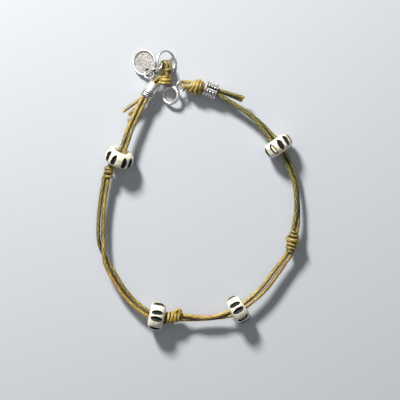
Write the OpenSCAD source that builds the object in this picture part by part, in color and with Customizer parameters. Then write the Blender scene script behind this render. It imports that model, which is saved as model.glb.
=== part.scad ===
// Knotted cord bracelet, lying open on its four beads, seen from above.
// All sizes are in millimetres. Two cords run side by side from the knot at
// the closing ring, down the left, along the bottom and up the right to the
// knot at the clasp. The origin is on the surface, below the middle.

/* [Cord] */
// Thickness of the waxed cord
cord_d = 1.1; // [1.0:0.02:1.12]
// Half the distance between the middles of the two cords
pair_gap = 0.57; // [0.57:0.005:0.6]
// Room round each cord inside a knot
knot_room = 0.1; // [0.08:0.01:0.12]

/* [Beads] */
// Diameter of a bead
bead_d = 7.8; // [7.4:0.1:8.2]
// Width of a bead along the cord
bead_w = 4.2; // [3.9:0.1:4.4]
// Rounding of the rim of a bead
bead_round = 1.7; // [1.5:0.1:1.8]
// Diameter of the hole through a bead
bead_hole = 3.0; // [2.8:0.1:3.3]
// Depth of the dashes cut in the rim
dash_depth = 0.5; // [0.35:0.05:0.6]
// Width of the dashes at the surface
dash_w = 1.6; // [1.2:0.1:1.7]

/* [Left crimp] */
// Length of the sleeve
sleeve_len = 4.5; // [4:0.1:4.6]
// Outer radius of the sleeve
sleeve_r = 1.6; // [1.55:0.05:1.8]
// Radius of the sleeve's bore
sleeve_bore = 1.36; // [1.34:0.01:1.4]

/* [Right crimp] */
// Length of the barrel
barrel_len = 3.4; // [3:0.1:3.4]
// Outer radius of the barrel, without its dots
barrel_r = 1.9; // [1.75:0.05:2]
// Radius of the barrel's bore
barrel_bore = 1.45; // [1.42:0.01:1.5]
// Radius of the raised dots
dot_r = 0.3; // [0.2:0.05:0.35]

/* [Closing ring and tag] */
// Radius of the closing ring to the middle of its wire
closing_r = 3.15; // [3.1:0.01:3.2]
// Wire thickness of the closing ring
closing_wire = 0.65; // [0.5:0.05:0.65]
// Diameter of the tag
tag_d = 7.06; // [6.8:0.02:7.1]
// Thickness of the tag's face
tag_t = 0.34; // [0.3:0.02:0.36]
// Diameter of the hole in the tag
tag_hole = 1.4; // [1.4:0.05:1.6]
// Radius of the small tag rings to the middle of their wire
link_r = 1.25; // [1.24:0.005:1.26]
// Wire thickness of the small tag rings
link_wire = 0.38; // [0.3:0.02:0.4]

/* [Clasp] */
// Radius of the spring ring to the middle of its tube
clasp_r = 2.25; // [2.2:0.01:2.3]
// Outer thickness of the spring ring's tube
clasp_tube = 0.96; // [0.9:0.02:0.98]
// Bore of the spring ring's tube
clasp_bore = 0.66; // [0.64:0.01:0.68]
// Thickness of the spring wire
spring_wire = 0.5; // [0.46:0.01:0.52]
// Radius of the soldered eye to the middle of its wire
eye_r = 0.85; // [0.84:0.01:0.88]
// Wire thickness of the soldered eye
eye_wire = 0.4; // [0.36:0.02:0.4]
// Radius of the clasp's jump ring to the middle of its wire
jump_r = 1.35; // [1.33:0.01:1.38]
// Wire thickness of the clasp's jump ring
jump_wire = 0.48; // [0.4:0.02:0.48]

/* [Hidden] */

waxed = [0.62, 0.52, 0.27];
waxed_inner = [0.67, 0.53, 0.24];
bone = [0.90, 0.87, 0.78];
silver = [0.80, 0.80, 0.80];

cord_r = cord_d / 2;
bz = bead_d / 2;
g = pair_gap;

// Columns of a route row
X = 0;
Y = 1;
Z = 2;
HALF_GAP = 3;
ROLL = 4;
STRAIGHT = 5;

// The route of the middle of the cord pair, from the left end knot to the
// right one. ROLL turns the pair about its own direction. STRAIGHT marks a
// row that begins a straight stretch, which a bead, knot or crimp sits on.
ROUTE = [
    [-9.9, 30.6, 2.7, g, 0, 1],
    [-11.2, 29.4, 3.1, g, 0, 0],
    [-12.1, 28.55, 3.5, g, 0, 1],
    [-14.3, 25.45, 3.7, g, 0, 0],
    [-16.0, 22.3, 3.9, g, 0, 0],
    [-17.4, 19.3, 4.1, g, 0, 0],
    [-18.7, 16.3, 4.2, g, 0, 0],
    [-19.6, 13.6, 4.4, g, 0, 0],
    [-20.2, 11.9, 4.5, g, 0, 0],
    [-20.9, 10.3, bz + 0.65, g, 0, 1],
    [-22.1, 7.5, bz - 0.5, g, 0, 0],
    [-23.82, 6.28, 3.51, g, 0, 1],
    [-25.03, 3.62, 3.39, g, 0, 0],
    [-25.3, 1.8, 3.4, g, 0, 0],
    [-25.8, -0.9, 3.4, g, 0, 0],
    [-26.2, -3.9, 3.4, g, 0, 0],
    [-26.45, -7.0, 3.4, 0.62, 0, 0],
    [-26.55, -10.0, 3.4, 0.64, 0, 0],
    [-26.5, -12.8, 3.4, 0.64, 0, 0],
    [-26.2, -15.2, 3.4, 0.64, 45, 0],
    [-25.7, -17.4, 3.4, 0.64, 90, 0],
    [-24.9, -19.5, 3.4, 0.64, 135, 0],
    [-23.8, -21.7, 3.4, 0.64, 180, 0],
    [-22.5, -24.0, 3.4, 0.6, 180, 0],
    [-21.2, -26.1, 3.5, 0.6, 180, 0],
    [-19.6, -28.2, 3.5, 0.6, 180, 0],
    [-17.8, -30.1, 3.6, 0.6, 180, 0],
    [-16.0, -31.6, 3.7, 0.6, 180, 0],
    [-14.3, -32.8, 3.8, g, 180, 0],
    [-12.8, -33.55, bz, g, 180, 1],
    [-9.9, -34.15, bz, g, 180, 0],
    [-8.9, -34.25, 3.8, g, 180, 1],
    [-5.6, -34.25, 3.5, g, 180, 0],
    [-3.0, -34.3, 3.4, 0.62, 215, 0],
    [0.6, -34.5, 3.3, 0.62, 250, 0],
    [4.3, -34.2, 3.4, 0.62, 250, 0],
    [7.3, -33.5, 3.7, 0.62, 215, 0],
    [9.25, -32.85, bz, g, 180, 1],
    [11.8, -31.3, bz, g, 180, 0],
    [13.7, -29.8, 3.8, g, 180, 0],
    [16.1, -27.8, 3.7, 0.62, 180, 0],
    [18.3, -25.4, 3.6, 0.68, 180, 0],
    [20.7, -22.2, 3.5, 0.66, 180, 0],
    [22.8, -19.2, 3.5, 0.6, 180, 0],
    [24.6, -16.4, 3.5, g, 180, 1],
    [25.8, -11.2, 3.5, g, 180, 0],
    [26.25, -8.8, 3.5, 0.6, 205, 0],
    [26.5, -6.2, 3.4, 0.6, 232, 0],
    [26.5, -3.4, 3.4, 0.6, 245, 0],
    [26.3, -0.3, 3.4, 0.6, 245, 0],
    [25.85, 2.3, 3.4, 0.6, 238, 0],
    [25.1, 5.0, 3.5, 0.6, 215, 0],
    [23.8, 8.0, 3.7, g, 180, 0],
    [22.25, 10.8, bz, g, 180, 1],
    [20.55, 13.25, bz, g, 180, 0],
    [19.0, 15.1, 3.7, 0.6, 205, 0],
    [17.1, 17.3, 3.5, 0.62, 230, 0],
    [14.9, 19.5, 3.4, 0.6, 250, 0],
    [12.4, 21.4, 3.3, g, 262, 0],
    [10.0, 23.0, 3.2, g, 270, 0],
    [7.2, 24.7, 3.2, g, 270, 0],
    [4.5, 26.15, 3.1, g, 270, 1],
    [1.7, 27.25, 3.1, g, 270, 1],
    [-0.3, 27.95, 3.0, g, 270, 0],
];

// Rows where the straight stretches begin
AT_LEFT_KNOT = 0;
AT_LEFT_CRIMP = 2;
AT_BEAD_1 = 9;
AT_KNOT_LEFT = 11;
AT_BEAD_2 = 29;
AT_KNOT_BOTTOM = 31;
AT_BEAD_3 = 37;
AT_KNOT_RIGHT = 44;
AT_BEAD_4 = 53;
AT_RIGHT_CRIMP = 61;
AT_RIGHT_KNOT = 62;
LAST = len(ROUTE) - 1;

// Where each bead's dashes are cut, in degrees round its rim
DASHES_1 = [137, 104, 58, 27, 351, 318, 288, 250, 212, 174];
DASHES_2 = [27, 72, 99, 148, 180, 214, 248, 292, 328, 358];
DASHES_3 = [14, 62, 91, 132, 162, 198, 240, 292, 320, 346];
DASHES_4 = [18, 62, 98, 130, 164, 202, 246, 294, 322, 350];

// Turns of cord in a knot, along the cord from its middle.
// Columns: place along the cord, radius of the turn, cord radius, lean
TURNS_LEFT = [[-1.05, 0.82, 0.5, 8], [0, 0.9, 0.5, -6], [1.05, 0.8, 0.5, 10]];
TURNS_BOTTOM = [[-1.42, 1.2, 0.46, 14], [-0.47, 1.3, 0.47, 14], [0.48, 1.3, 0.47, 14],
    [1.42, 1.1, 0.45, 14]];
TURNS_RIGHT = [[-2.6, 0.78, 0.42, -12], [-1.65, 1.05, 0.5, -12], [-0.6, 1.1, 0.52, -12],
    [0.62, 1.4, 0.66, -12], [1.82, 0.95, 0.5, -12], [2.75, 0.8, 0.38, -12]];
TURNS_LEFT_END = [[-0.5, 1.3, 0.48, 4], [0.5, 1.28, 0.48, 4]];
TURNS_RIGHT_END = [[-1.9, 1.2, 0.5, 14], [-1.05, 1.5, 0.6, 14], [-0.1, 1.62, 0.62, 14],
    [0.8, 1.5, 0.58, 14], [1.55, 1.15, 0.5, 14]];

// Poses of the metal pieces. Columns: X, Y, Z, turn about Z, tilt about Y
CLOSING_POSE = [-8.9, 34.6, 2.5, 0, 43];
TAG_POSE = [-14.85, 34.7, 1.755, 0, -27];
TAG_RING_A_POSE = [-13.5, 31.3, 2.75, 80, 33];
TAG_RING_B_POSE = [-12.0, 31.95, 2.95, -71, 41.5];
TAG_RING_C_POSE = [-10.75, 33.25, 3.8, -35.5, -69.5];
CLASP_POSE = [-7.7, 25.85, 1.6, 0, -27.7];
JUMP_POSE = [-4.8, 28.22, 3.265, -23.5, 27];
// The right end knot, and its turn in plan
RIGHT_KNOT_AT = [-0.5, 27.95, 2.95];
RIGHT_KNOT_TURN = -8;

// Angles round the spring ring, in degrees: the mouth, the slot, the eye,
// the wire and its thumb post
MOUTH_FROM = 140;
MOUTH_TO = 194;
BORE_FROM = 31;
SLOT_TO = 81;
EYE_AT = 22;
EYE_TURN = 50;
WIRE_FROM = 74;
WIRE_TO = 198;
POST_AT = 77.5;

function point(i) = [ROUTE[i][X], ROUTE[i][Y], ROUTE[i][Z]];
function unit(v) = v / norm(v);
// Direction of the route at a row: along a straight stretch at both its
// ends, and from the row before to the row after anywhere else
function dir(i) =
    i < LAST && ROUTE[i][STRAIGHT] == 1 ? unit(point(i + 1) - point(i))
    : i > 0 && ROUTE[i - 1][STRAIGHT] == 1 ? unit(point(i) - point(i - 1))
    : unit(point(min(i + 1, LAST)) - point(max(i - 1, 0)));
function side(t) = unit(cross([0, 0, 1], t));
function over(t) = cross(t, side(t));

// Middle of one strand at a row. WHICH is 1 or -1.
function strand_at(i, which) =
    let (t = dir(i), h = which * ROUTE[i][HALF_GAP], a = ROUTE[i][ROLL])
    point(i) + h * (cos(a) * side(t) + sin(a) * over(t));

// Moves children from the origin to the middle of the straight stretch that
// begins at row i, with their Z along the cord and their Y upwards
module on_stretch(i) {
    t = dir(i);
    s = side(t);
    u = over(t);
    p = (point(i) + point(i + 1)) / 2;
    multmatrix([
        [s[X], u[X], t[X], p[X]],
        [s[Y], u[Y], t[Y], p[Y]],
        [s[Z], u[Z], t[Z], p[Z]],
        [0, 0, 0, 1],
    ])
        children();
}

module posed(pose) {
    translate([pose[0], pose[1], pose[2]])
        rotate([0, 0, pose[3]])
            rotate([0, pose[4], 0])
                children();
}

module ring(r, wire) {
    rotate_extrude($fn = 96)
        translate([r, 0])
            circle(d = wire, $fn = 32);
}

module arc(r, d, from, to) {
    rotate([0, 0, from])
        rotate_extrude(angle = to - from, $fn = 128)
            translate([r, 0])
                circle(d = d, $fn = 48);
}

// Round rod from p to q
module rod(p, q, r) {
    v = q - p;
    translate(p)
        rotate([0, acos(v[Z] / norm(v)), atan2(v[Y], v[X])])
            cylinder(r = r, h = norm(v), $fn = 32);
}

module turns(table) {
    for (row = table)
        translate([0, 0, row[0]])
            rotate([row[3], 0, 0])
                rotate_extrude($fn = 64)
                    translate([row[1], 0])
                        circle(r = row[2], $fn = 32);
}

// The two ways that the cords take through a knot
module cord_ways(len) {
    for (s = [-1, 1])
        translate([s * g, 0, 0])
            cylinder(r = cord_r + knot_room, h = len, center = true, $fn = 32);
}

// One strand of the pair: an eight-sided tube swept along the route
module strand(which) {
    sides = 8;
    points = [
        for (i = [0 : LAST])
            let (t = dir(i), c = strand_at(i, which))
            for (k = [0 : sides - 1])
                let (a = 360 * (k + 0.5) / sides)
                c + cord_r * (cos(a) * side(t) + sin(a) * over(t))
    ];
    walls = [
        for (i = [0 : LAST - 1])
            for (k = [0 : sides - 1])
                let (n = (k + 1) % sides, a = i * sides, b = a + sides)
                for (f = [[a + k, b + k, b + n], [a + k, b + n, a + n]]) f
    ];
    first = [for (k = [0 : sides - 1]) k];
    last = [for (k = [sides - 1 : -1 : 0]) LAST * sides + k];
    polyhedron(points = points, faces = concat(walls, [first, last]));
}

module cord_strand_a() {
    color(waxed) strand(-1);
}

module cord_strand_b() {
    color(waxed_inner) strand(1);
}

// File with sloping flanks. Drawn straight across the round rim, it cuts a
// dash that narrows to both ends.
module file_cut() {
    tip = 0.1 * dash_w;
    flank = dash_w - tip;
    linear_extrude(bead_w + 1, center = true)
        polygon([[0, -tip], [0, tip], [2 * dash_depth, flank], [2 * dash_depth, -flank]]);
}

// Thick disc with a round rim, a hole with wide mouths, and cut dashes
module bead(dashes) {
    rim = bead_d / 2;
    half = bead_w / 2;
    mouth = 0.6;
    flare = 1.0;
    color(bone)
        difference() {
            rotate_extrude($fn = 128) {
                translate([0, -half])
                    square([rim - bead_round, bead_w]);
                translate([0, bead_round - half])
                    square([rim, bead_w - 2 * bead_round]);
                for (s = [-1, 1])
                    translate([rim - bead_round, s * (half - bead_round)])
                        circle(r = bead_round, $fn = 64);
            }
            cylinder(d = bead_hole, h = bead_w + 2, center = true, $fn = 64);
            for (s = [0, 1])
                mirror([0, 0, s])
                    translate([0, 0, half - mouth])
                        cylinder(r1 = bead_hole / 2 - 0.01, r2 = bead_hole / 2 + flare,
                            h = 2 * mouth, $fn = 64);
            for (a = dashes)
                rotate([0, 0, a])
                    translate([rim - dash_depth, 0, 0])
                        file_cut();
        }
}

module bead_upper_left() {
    on_stretch(AT_BEAD_1) bead(DASHES_1);
}

module bead_lower_left() {
    on_stretch(AT_BEAD_2) bead(DASHES_2);
}

module bead_lower_right() {
    on_stretch(AT_BEAD_3) bead(DASHES_3);
}

module bead_upper_right() {
    on_stretch(AT_BEAD_4) bead(DASHES_4);
}

module knot_left() {
    color(waxed)
        on_stretch(AT_KNOT_LEFT)
            difference() {
                rotate([0, 19, 0])
                    union() {
                        turns(TURNS_LEFT);
                        cylinder(r = 0.86, h = 2.6, center = true, $fn = 32);
                    }
                cord_ways(8);
            }
}

// Stem with a round head, turned in one piece, that points from FROM to TIP
module lobe(from, tip, stem_r, head_r) {
    v = tip - from;
    translate(from)
        rotate([0, acos(v[Z] / norm(v)), atan2(v[Y], v[X])])
            rotate_extrude($fn = 48) {
                square([stem_r, norm(v)]);
                translate([0, norm(v)])
                    intersection() {
                        circle(r = head_r, $fn = 64);
                        translate([0, -1])
                            square([1, 2]);
                    }
            }
}

module knot_bottom() {
    color(waxed)
        on_stretch(AT_KNOT_BOTTOM)
            difference() {
                union() {
                    turns(TURNS_BOTTOM);
                    cylinder(r = 0.9, h = 3.2, center = true, $fn = 32);
                    // The bump with two lobes, where the knot was pulled up
                    for (z = [0.46, 1.5])
                        lobe([0.7, 1.0, z], [1.8, 1.15, z + 0.6], 0.36, 0.5);
                }
                cord_ways(8);
            }
}

module knot_right() {
    color(waxed)
        on_stretch(AT_KNOT_RIGHT)
            difference() {
                union() {
                    turns(TURNS_RIGHT);
                    translate([0, 0, 0.1])
                        cylinder(r = 0.88, h = 5.6, center = true, $fn = 32);
                }
                cord_ways(10);
            }
}

// Sleeve, smooth above and with a coil of slanting ribs below
module left_crimp() {
    color(silver)
        on_stretch(AT_LEFT_CRIMP)
            translate([0, -0.5, 0])
                difference() {
                    union() {
                        translate([0, 0, -sleeve_len / 2])
                            cylinder(r = sleeve_r, h = sleeve_len * 0.52, $fn = 64);
                        cylinder(r = sleeve_r - 0.1, h = sleeve_len / 2, $fn = 64);
                        for (z = [0.45, 1.0, 1.55])
                            translate([0, 0, z])
                                rotate([6, 10, 0])
                                    ring(sleeve_r - 0.13, 0.46);
                    }
                    cylinder(r = sleeve_bore, h = sleeve_len + 2, center = true, $fn = 64);
                }
}

// The knot at the left end and its doubled loop round the closing ring, in
// the closing ring's own tilted frame
module left_end_loop() {
    bend_y = -0.78;
    leg_z = 1.0;
    leg_x = -0.1;
    loop_d = cord_d - 0.06;
    knot_y = -4.62;
    color(waxed)
        difference() {
            posed(CLOSING_POSE)
                union() {
                    for (x = [-g, g])
                        translate([leg_x + x, bend_y, 0])
                            rotate([0, -90, 0])
                                union() {
                                    arc(leg_z, loop_d, 0, 180);
                                    for (z = [-leg_z, leg_z])
                                        rod([z, 0.001, 0], [z, knot_y - bend_y + 0.24, 0], loop_d / 2);
                                }
                    // The turn that lies over the upper legs
                    translate([leg_x, -1.9, 0.8])
                        rotate([90, 0, 14])
                            ring(0.92, 0.96);
                    translate([-0.3, knot_y, -0.1])
                        rotate([90, 0, 0])
                            union() {
                                turns(TURNS_LEFT_END);
                                cylinder(r = 1.12, h = 1.3, center = true, $fn = 48);
                            }
                }
            on_stretch(AT_LEFT_KNOT)
                for (s = [-1, 1])
                    translate([s * g, 0, -norm(point(1) - point(0)) / 2 - 0.1])
                        cylinder(r = cord_r + knot_room, h = 6, $fn = 32);
        }
}

// Two cut cord ends that come out below the pair at the left crimp
module left_tail(from_x, tip) {
    on = AT_LEFT_CRIMP;
    t = dir(on);
    start = (point(on) + point(on + 1)) / 2 + t * (sleeve_len / 2 + 0.08)
        + from_x * side(t) - 1.09 * over(t);
    color(waxed_inner) rod(start, tip, 0.46);
}

module left_tail_a() {
    left_tail(-0.5, [-20.4, 21.5, 2.7]);
}

module left_tail_b() {
    left_tail(0.5, [-18.9, 20.6, 2.3]);
}

module closing_ring() {
    color(silver) posed(CLOSING_POSE) ring(closing_r, closing_wire);
}

// Round tag with a raised rim and its hole near the lower edge
module tag() {
    rim_wire = 0.56;
    rim_at = (tag_d - rim_wire) / 2;
    color(silver)
        posed(TAG_POSE)
            difference() {
                union() {
                    cylinder(r = rim_at, h = tag_t, center = true, $fn = 96);
                    ring(rim_at, rim_wire);
                }
                translate([0.965, -2.28, 0])
                    cylinder(d = tag_hole, h = 3, center = true, $fn = 48);
            }
}

module tag_ring_a() {
    color(silver) posed(TAG_RING_A_POSE) ring(link_r, link_wire);
}

module tag_ring_b() {
    color(silver) posed(TAG_RING_B_POSE) ring(link_r, link_wire);
}

module tag_ring_c() {
    color(silver) posed(TAG_RING_C_POSE) ring(link_r, link_wire);
}

// Barrel with an end band at each end, a slit along its top and raised dots
module right_crimp() {
    band = 0.36;
    color(silver)
        on_stretch(AT_RIGHT_CRIMP)
            translate([-0.55, 0, 0])
                difference() {
                    union() {
                        cylinder(r = barrel_r, h = barrel_len, center = true, $fn = 64);
                        for (s = [-1, 1])
                            translate([0, 0, s * (barrel_len - band) / 2])
                                cylinder(r = barrel_r + 0.14, h = band, center = true, $fn = 64);
                        for (row = [-1, 0, 1])
                            for (k = [0 : 7])
                                rotate([0, 0, 22.5 + 45 * k])
                                    translate([barrel_r - 0.04, 0, 0.82 * row])
                                        sphere(r = dot_r, $fn = 32);
                    }
                    cylinder(r = barrel_bore, h = barrel_len + 2, center = true, $fn = 64);
                    translate([0, barrel_r, 0])
                        cube([0.34, 1.6, barrel_len + 2], center = true);
                }
}

// The wrapped knot at the right end and its loop round the clasp's jump ring
module right_end_loop() {
    bend = 0.96;
    bend_at = [-2.94, 0.405, -0.185];
    loop_d = 0.96;
    color(waxed)
        difference() {
            translate(RIGHT_KNOT_AT)
                union() {
                    rotate([0, 0, RIGHT_KNOT_TURN])
                        rotate([0, 90, 0])
                            union() {
                                turns(TURNS_RIGHT_END);
                                cylinder(r = 1.32, h = 2.9, center = true, $fn = 48);
                            }
                    translate(bend_at)
                        rotate([90, 0, -3])
                            union() {
                                arc(bend, loop_d, 90, 270);
                                for (z = [-bend, bend])
                                    rod([-0.001, z, 0], [1.7, z, 0], loop_d / 2);
                            }
                }
            on_stretch(AT_RIGHT_KNOT)
                for (s = [-1, 1])
                    translate([0, s * g, norm(point(LAST) - point(LAST - 1)) / 2 + 0.1 - 6])
                        cylinder(r = cord_r + knot_room, h = 6, $fn = 32);
        }
}

// Two cut cord ends that come out beside the pair at the right crimp
module right_tail(up, tip) {
    on = AT_RIGHT_CRIMP;
    t = dir(on);
    start = (point(on) + point(on + 1)) / 2 - t * (barrel_len / 2 - 0.5)
        - 1.1 * side(t) + up * over(t);
    color(waxed_inner) rod(start, tip, 0.46);
}

module right_tail_a() {
    right_tail(0.56, [12.0, 25.1, 3.9]);
}

module right_tail_b() {
    right_tail(-0.56, [11.5, 24.35, 2.9]);
}

module clasp_link() {
    color(silver)
        posed(JUMP_POSE)
            ring(jump_r, jump_wire);
}

// Tube bent to a ring, with a mouth, the spring's slot and a soldered eye
module clasp_body() {
    slot = 0.34;
    color(silver)
        posed(CLASP_POSE)
            difference() {
                union() {
                    arc(clasp_r, clasp_tube, MOUTH_TO, MOUTH_FROM + 360);
                    rotate([0, 0, EYE_AT])
                        translate([clasp_r + 1, 0, 0])
                            rotate([-EYE_TURN, 0, 0])
                                ring(eye_r, eye_wire);
                }
                arc(clasp_r, clasp_bore, BORE_FROM, MOUTH_FROM + 2);
                arc(clasp_r, clasp_bore, MOUTH_TO - 2, WIRE_TO + 2);
                rotate([0, 0, BORE_FROM])
                    rotate_extrude(angle = SLOT_TO - BORE_FROM, $fn = 96)
                        translate([clasp_r, -slot / 2])
                            square([clasp_tube, slot]);
            }
}

// Spring wire that slides in the tube, with the post that the thumb pulls
module clasp_lever() {
    post_out = 1.35;
    post_wire = 0.24;
    color(silver)
        posed(CLASP_POSE)
            union() {
                arc(clasp_r, spring_wire, WIRE_FROM, WIRE_TO);
                // The post and its round head, turned in one piece
                rotate([0, 0, POST_AT])
                    translate([clasp_r, 0, 0])
                        rotate([0, 90, 0])
                            rotate_extrude($fn = 48) {
                                square([post_wire / 2, post_out - 0.15]);
                                translate([0, post_out])
                                    intersection() {
                                        circle(r = 0.33, $fn = 64);
                                        translate([0, -1])
                                            square([1, 2]);
                                    }
                            }
            }
}

cord_strand_a();
cord_strand_b();
bead_upper_left();
bead_lower_left();
bead_lower_right();
bead_upper_right();
knot_left();
knot_bottom();
knot_right();
left_crimp();
left_end_loop();
left_tail_a();
left_tail_b();
closing_ring();
tag();
tag_ring_a();
tag_ring_b();
tag_ring_c();
right_crimp();
right_end_loop();
right_tail_a();
right_tail_b();
clasp_link();
clasp_body();
clasp_lever();
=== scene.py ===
"""Looks of a knotted bracelet of waxed cord with four bone discs.

Every visible piece is a surface worked out on a grid of two parameters and put
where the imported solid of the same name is. Tables are in millimetres and degrees,
as in the part's source, and lengths become metres when a mesh is made.
"""
import math

import bmesh
import bpy
import numpy as np
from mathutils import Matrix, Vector


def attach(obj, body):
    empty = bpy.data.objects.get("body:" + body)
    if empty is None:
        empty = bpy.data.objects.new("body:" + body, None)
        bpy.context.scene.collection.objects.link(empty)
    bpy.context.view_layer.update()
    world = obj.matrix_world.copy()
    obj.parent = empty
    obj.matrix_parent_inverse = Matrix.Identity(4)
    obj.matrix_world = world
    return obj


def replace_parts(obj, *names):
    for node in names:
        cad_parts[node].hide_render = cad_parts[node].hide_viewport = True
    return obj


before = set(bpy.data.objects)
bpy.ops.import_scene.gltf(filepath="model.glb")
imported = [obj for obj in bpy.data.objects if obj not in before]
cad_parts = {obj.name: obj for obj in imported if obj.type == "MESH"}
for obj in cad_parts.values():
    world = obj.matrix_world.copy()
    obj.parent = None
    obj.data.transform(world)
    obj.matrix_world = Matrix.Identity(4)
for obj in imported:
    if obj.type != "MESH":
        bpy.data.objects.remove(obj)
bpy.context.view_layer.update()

MM = 0.001
TURN = 2 * math.pi

# Camera and photograph
VIEW_CENTRE = (0.27, -2.565)
VIEW_WIDTH = 108.0
VIEW_LEVEL = 3.5
LENS = 150.0
SENSOR = 36.0

# Cord
CORD_D = 1.1
TAIL_D = 0.92
PAIR_GAP = 0.57
BRAID_YARNS = 10
BRAID_PITCH = 8.4
BRAID_RELIEF = 0.06
BRAID_MEAN = 0.7
STRAND_B_START = 31.7

# Beads
BEAD_D = 7.8
BEAD_W = 4.2
BEAD_ROUND = 1.7
BEAD_HOLE = 3.0
BEAD_MOUTH = 0.6
MOUTH_FLARE = 0.5
DASH_DEPTH = 0.5
DASH_W = 1.6

# Crimps
SLEEVE_LEN = 4.5
SLEEVE_R = 1.6
SLEEVE_BORE = 1.36
SLEEVE_SHIFT = (0, -0.5, 0)
COLLAR_TO = 0.14
COLLAR_RISE = 0.1
RIBS = (0.45, 1.0, 1.55)
RIB_R = 0.25
RIB_RISE = 0.23
RIB_SUNK = 0.13
RIB_SLANTS = (6, 10)
BARREL_LEN = 3.4
BARREL_R = 1.9
BARREL_BORE = 1.45
BARREL_SHIFT = (-0.55, 0, 0)
BARREL_BAND = 0.36
BAND_RISE = 0.14
BAND_BLEND = 0.08
BARREL_SLIT = 0.46
BARREL_SLIT_AT = 101
DOT_ROWS = (-0.82, 0.0, 0.82)
DOTS_ROUND = 8
DOT_R = 0.3
DOT_SUNK = 0.04
EDGE_ROUND = 0.1

# Rings, tag and clasp
CLOSING_R = 3.15
CLOSING_WIRE = 0.65
TAG_D = 7.06
TAG_T = 0.34
TAG_RIM = 0.56
TAG_HOLE = 1.4
TAG_HOLE_AT = (0.965, -2.28)
TAG_EDGE = 0.05
LINK_R = 1.25
LINK_WIRE = 0.38
CLASP_R = 2.25
CLASP_TUBE = 0.96
CLASP_BORE = 0.66
SPRING_WIRE = 0.5
EYE_R = 0.85
EYE_WIRE = 0.4
EYE_OUT = 1
JUMP_R = 1.35
JUMP_WIRE = 0.48
MOUTH_FROM = 140
MOUTH_TO = 194
BORE_FROM = 31
SLOT_TO = 81
SLOT_W = 0.34
EYE_AT = 22
EYE_TURN = 50
WIRE_FROM = 74
WIRE_TO = 198
POST_AT = 77.5
POST_OUT = 1.35
STEM_R = 0.12
STEM_SHORT = 0.34
KNOB_R = 0.33

# The route of the middle of the cord pair: X, Y, Z, half the distance between
# the two strands, roll in degrees, and 1 where a straight stretch begins. G is
# the usual half distance and BZ the level of a bead's middle.
G = PAIR_GAP
BZ = BEAD_D / 2
ROUTE = np.array([
    [-9.9, 30.6, 2.7, G, 0, 1],
    [-11.2, 29.4, 3.1, G, 0, 0],
    [-12.1, 28.55, 3.5, G, 0, 1],
    [-14.3, 25.45, 3.7, G, 0, 0],
    [-16.0, 22.3, 3.9, G, 0, 0],
    [-17.4, 19.3, 4.1, G, 0, 0],
    [-18.7, 16.3, 4.2, G, 0, 0],
    [-19.6, 13.6, 4.4, G, 0, 0],
    [-20.2, 11.9, 4.5, G, 0, 0],
    [-20.9, 10.3, BZ + 0.65, G, 0, 1],
    [-22.1, 7.5, BZ - 0.5, G, 0, 0],
    [-23.82, 6.28, 3.51, G, 0, 1],
    [-25.03, 3.62, 3.39, G, 0, 0],
    [-25.3, 1.8, 3.4, G, 0, 0],
    [-25.8, -0.9, 3.4, G, 0, 0],
    [-26.2, -3.9, 3.4, G, 0, 0],
    [-26.45, -7.0, 3.4, 0.62, 0, 0],
    [-26.55, -10.0, 3.4, 0.64, 0, 0],
    [-26.5, -12.8, 3.4, 0.64, 0, 0],
    [-26.2, -15.2, 3.4, 0.64, 45, 0],
    [-25.7, -17.4, 3.4, 0.64, 90, 0],
    [-24.9, -19.5, 3.4, 0.64, 135, 0],
    [-23.8, -21.7, 3.4, 0.64, 180, 0],
    [-22.5, -24.0, 3.4, 0.6, 180, 0],
    [-21.2, -26.1, 3.5, 0.6, 180, 0],
    [-19.6, -28.2, 3.5, 0.6, 180, 0],
    [-17.8, -30.1, 3.6, 0.6, 180, 0],
    [-16.0, -31.6, 3.7, 0.6, 180, 0],
    [-14.3, -32.8, 3.8, G, 180, 0],
    [-12.8, -33.55, BZ, G, 180, 1],
    [-9.9, -34.15, BZ, G, 180, 0],
    [-8.9, -34.25, 3.8, G, 180, 1],
    [-5.6, -34.25, 3.5, G, 180, 0],
    [-3.0, -34.3, 3.4, 0.62, 215, 0],
    [0.6, -34.5, 3.3, 0.62, 250, 0],
    [4.3, -34.2, 3.4, 0.62, 250, 0],
    [7.3, -33.5, 3.7, 0.62, 215, 0],
    [9.25, -32.85, BZ, G, 180, 1],
    [11.8, -31.3, BZ, G, 180, 0],
    [13.7, -29.8, 3.8, G, 180, 0],
    [16.1, -27.8, 3.7, 0.62, 180, 0],
    [18.3, -25.4, 3.6, 0.68, 180, 0],
    [20.7, -22.2, 3.5, 0.66, 180, 0],
    [22.8, -19.2, 3.5, 0.6, 180, 0],
    [24.6, -16.4, 3.5, G, 180, 1],
    [25.8, -11.2, 3.5, G, 180, 0],
    [26.25, -8.8, 3.5, 0.6, 205, 0],
    [26.5, -6.2, 3.4, 0.6, 232, 0],
    [26.5, -3.4, 3.4, 0.6, 245, 0],
    [26.3, -0.3, 3.4, 0.6, 245, 0],
    [25.85, 2.3, 3.4, 0.6, 238, 0],
    [25.1, 5.0, 3.5, 0.6, 215, 0],
    [23.8, 8.0, 3.7, G, 180, 0],
    [22.25, 10.8, BZ, G, 180, 1],
    [20.55, 13.25, BZ, G, 180, 0],
    [19.0, 15.1, 3.7, 0.6, 205, 0],
    [17.1, 17.3, 3.5, 0.62, 230, 0],
    [14.9, 19.5, 3.4, 0.6, 250, 0],
    [12.4, 21.4, 3.3, G, 262, 0],
    [10.0, 23.0, 3.2, G, 270, 0],
    [7.2, 24.7, 3.2, G, 270, 0],
    [4.5, 26.15, 3.1, G, 270, 1],
    [1.7, 27.25, 3.1, G, 270, 1],
    [-0.3, 27.95, 3.0, G, 270, 0],
])
AT_LEFT_CRIMP = 2
AT_BEAD_1 = 9
AT_KNOT_LEFT = 11
AT_BEAD_2 = 29
AT_KNOT_BOTTOM = 31
AT_BEAD_3 = 37
AT_KNOT_RIGHT = 44
AT_BEAD_4 = 53
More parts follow.
